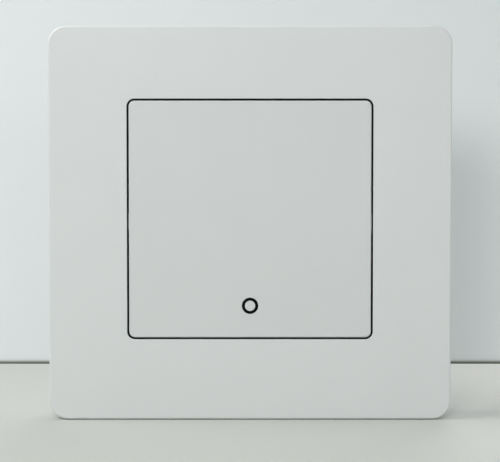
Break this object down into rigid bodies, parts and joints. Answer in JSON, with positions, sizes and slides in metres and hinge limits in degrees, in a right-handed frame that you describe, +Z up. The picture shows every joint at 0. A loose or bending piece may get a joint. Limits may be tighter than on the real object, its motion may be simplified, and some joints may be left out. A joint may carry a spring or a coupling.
{
  "type": "wireless remote wall switch",
  "caption": "Wall-mounted wireless switch: a rounded plate around a large flush push key with a small dark ring, over a coin-cell radio transmitter on a rear tray with screw slots.",
  "frame": {"origin": "middle of the plate's width and height, on the wall plane that the base's back lies on", "axes": "+X to the right seen from the front, +Y into the wall, so the face looks along -Y, +Z up"},
  "size_m": [0.088, 0.0132, 0.086],
  "materials": {
    "cover_white": "fine satin moulded surface, cool white",
    "key_white": "fine satin moulded surface, cool white",
    "base_white": "plain moulded surface, cool white",
    "ring_black": "smooth, dark smoked plastic",
    "frame_black": "fine spark-eroded surface",
    "pad_foam": "closed-cell foam with a smooth adhesive face",
    "screw_steel": "zinc plated",
    "board_green": "green solder mask over glass fibre",
    "cell_steel": "nickel-plated steel can",
    "holder_black": "plain moulded surface",
    "spring_steel": "bright stamped sheet",
    "contact_bronze": "stamped bronze sheet",
    "plunger_black": "smooth moulded surface",
    "led_white": "white body with a pale filled cup",
    "guide_clear": "clear, polished",
    "chip_black": "matt moulded body with tinned leads",
    "crystal_metal": "metal lid on a ceramic base",
    "coil_copper": "enamelled copper wire",
    "capacitor_tan": "fired ceramic with tinned ends",
    "resistor_dark": "dark glazed ceramic with tinned ends"
  },
  "bodies": {
    "root": {"cover_plate": "cover_white", "base_housing": "base_white", "adhesive_pad_top": "pad_foam", "adhesive_pad_bottom": "pad_foam", "inner_frame": "frame_black", "case_screws": "screw_steel", "circuit_board": "board_green", "coin_cell": "cell_steel", "battery_holder": "holder_black", "battery_clip": "spring_steel", "battery_contact": "contact_bronze", "tact_body": "holder_black", "tact_cover": "spring_steel", "tact_dome": "spring_steel", "tact_terminal_upper": "contact_bronze", "tact_terminal_lower": "contact_bronze", "status_led": "led_white", "light_guide": "guide_clear", "crystal": "crystal_metal", "transmitter_chip": "chip_black", "coil_antenna": "coil_copper", "chip_capacitor_1": "capacitor_tan", "chip_resistor_1": "resistor_dark", "chip_capacitor_2": "capacitor_tan", "chip_resistor_2": "resistor_dark", "chip_capacitor_3": "capacitor_tan", "chip_resistor_3": "resistor_dark"},
    "key": {"push_key": "key_white", "indicator_ring": "ring_black"},
    "plunger": {"tact_plunger": "plunger_black"}
  },
  "joints": [
    {"name": "key_press", "type": "hinge", "parent": "root", "child": "key", "pos_m": [0, -0.00745, 0.02273], "axis": [1, 0, 0], "range_deg": [0, 0.6], "stiffness_Nm_per_rad": 4, "deforming": ["tact_dome"]},
    {"name": "plunger_travel", "type": "slide", "parent": "root", "child": "plunger", "axis": [0, 1, 0], "range_m": [0, 0.00035]}
  ],
  "couplings": [
    {"joint": "plunger_travel", "follows": "key_press", "m_per_rad": 0.03279}
  ]
}
